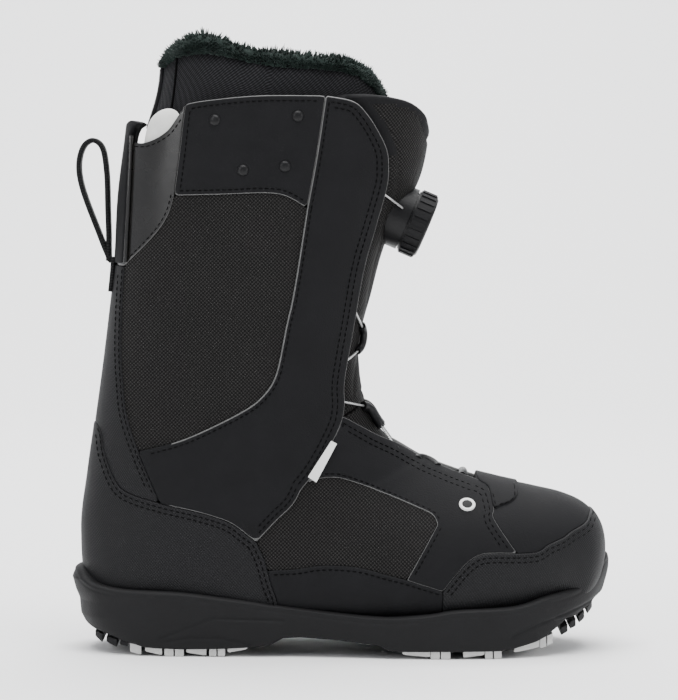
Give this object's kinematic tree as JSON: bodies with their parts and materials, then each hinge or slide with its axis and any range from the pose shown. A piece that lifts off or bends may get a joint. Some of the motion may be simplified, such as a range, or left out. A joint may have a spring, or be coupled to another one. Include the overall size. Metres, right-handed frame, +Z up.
{
  "type": "snowboard boot",
  "caption": "Soft snowboard boot for the right foot: padded shaft, fur-lined liner, lugged rubber sole, and a tongue with a turning dial that winds a steel lace.",
  "frame": {"origin": "on the floor under the middle of the boot's box", "axes": "+X towards the toe, +Y to the inner side of the foot, +Z up"},
  "size_m": [0.3067, 0.1178, 0.3495],
  "materials": {
    "nubuck": "matte black synthetic nubuck",
    "mesh_nylon": "coarse ballistic nylon weave",
    "grain": "fine woven grain synthetic",
    "gloss": "smooth glossy synthetic",
    "tongue_nylon": "coarse nylon weave, padded",
    "rubber_black": "matte black rubber",
    "rubber_white": "matte off-white rubber",
    "eva": "foam",
    "board": "fibre board",
    "shank_plastic": "glass-filled nylon",
    "liner_twill": "fine twill over foam",
    "fur": "deep pile, very dark green-black",
    "lining": "brushed fleece",
    "footbed_felt": "felt over foam",
    "white_foam": "white foam-backed fabric",
    "guide_plastic": "black nylon",
    "dial_plastic": "fine matte black nylon",
    "dial_rubber": "ribbed soft rubber",
    "steel": "bright steel",
    "lace_steel": "nylon-coated steel rope",
    "rivet_metal": "black satin",
    "webbing": "black webbing",
    "white_label": "white moulded label"
  },
  "bodies": {
    "boot": {"quarter_lateral": "nubuck", "quarter_medial": "nubuck", "collar_band_lateral": "nubuck", "collar_band_medial": "nubuck", "cuff_flap_lateral": "nubuck", "cuff_flap_medial": "nubuck", "side_rand_lateral": "nubuck", "side_rand_medial": "nubuck", "toe_box": "nubuck", "shaft_mesh_lateral": "mesh_nylon", "shaft_mesh_medial": "mesh_nylon", "side_mesh_lateral": "mesh_nylon", "side_mesh_medial": "mesh_nylon", "heel_counter": "grain", "toe_cap": "grain", "back_stay": "grain", "rear_panel": "gloss", "tongue_base": "tongue_nylon", "gusset_lateral": "tongue_nylon", "gusset_medial": "tongue_nylon", "outsole": "rubber_black", "heel_tread": "rubber_white", "forefoot_tread": "rubber_white", "midsole": "eva", "lasting_board": "board", "shank": "shank_plastic", "heel_stiffener": "shank_plastic", "liner_shell": "liner_twill", "liner_back_strip": "liner_twill", "liner_fur_collar": "fur", "liner_lining": "lining", "footbed": "footbed_felt", "cuff_pad_lateral": "white_foam", "cuff_pad_medial": "white_foam", "instep_guide": "guide_plastic", "ankle_guide": "guide_plastic", "toe_guide": "guide_plastic", "flap_guides_upper": "guide_plastic", "flap_guides_lower": "guide_plastic", "quarter_guides_upper": "guide_plastic", "quarter_guides_lower": "guide_plastic", "steel_lace": "lace_steel", "collar_rivets": "rivet_metal", "pull_loop_patch": "webbing", "side_tag": "white_label", "side_badge": "white_label"},
    "tongue": {"tongue": "tongue_nylon", "tongue_guide": "guide_plastic", "dial_base": "dial_plastic", "dial_ratchet_ring": "dial_plastic", "dial_post": "steel"},
    "spool": {"dial_spool": "dial_plastic", "wound_lace": "lace_steel"},
    "sleeve": {"dial_sleeve": "dial_plastic", "dial_sleeve_clip": "steel"},
    "knob": {"dial_knob": "dial_plastic", "dial_pawl_ring": "dial_plastic", "dial_grip": "dial_rubber"},
    "pull_loop": {"pull_loop": "webbing"}
  },
  "joints": [
    {"name": "tongue_fold", "type": "hinge", "parent": "boot", "child": "tongue", "pos_m": [0.0155, 0, 0.141], "axis": [0, 1, 0], "range_deg": [0, 30], "stiffness_Nm_per_rad": 0.5, "deforming": ["steel_lace"]},
    {"name": "spool_turn", "type": "hinge", "parent": "tongue", "child": "spool", "pos_m": [0.034, 0, 0.2465], "axis": [0.92, 0, -0.392], "continuous": true},
    {"name": "knob_pull", "type": "slide", "parent": "tongue", "child": "sleeve", "axis": [0.92, 0, -0.392], "range_m": [0, 0.003]},
    {"name": "knob_turn", "type": "hinge", "parent": "sleeve", "child": "knob", "pos_m": [0.034, 0, 0.2465], "axis": [0.92, 0, -0.392], "continuous": true},
    {"name": "pull_loop_swing", "type": "hinge", "parent": "boot", "child": "pull_loop", "pos_m": [-0.1312, 0, 0.2195], "axis": [0, 1, 0], "range_deg": [-25, 0]}
  ],
  "couplings": [
    {"joint": "spool_turn", "follows": "knob_turn", "ratio": 1}
  ]
}
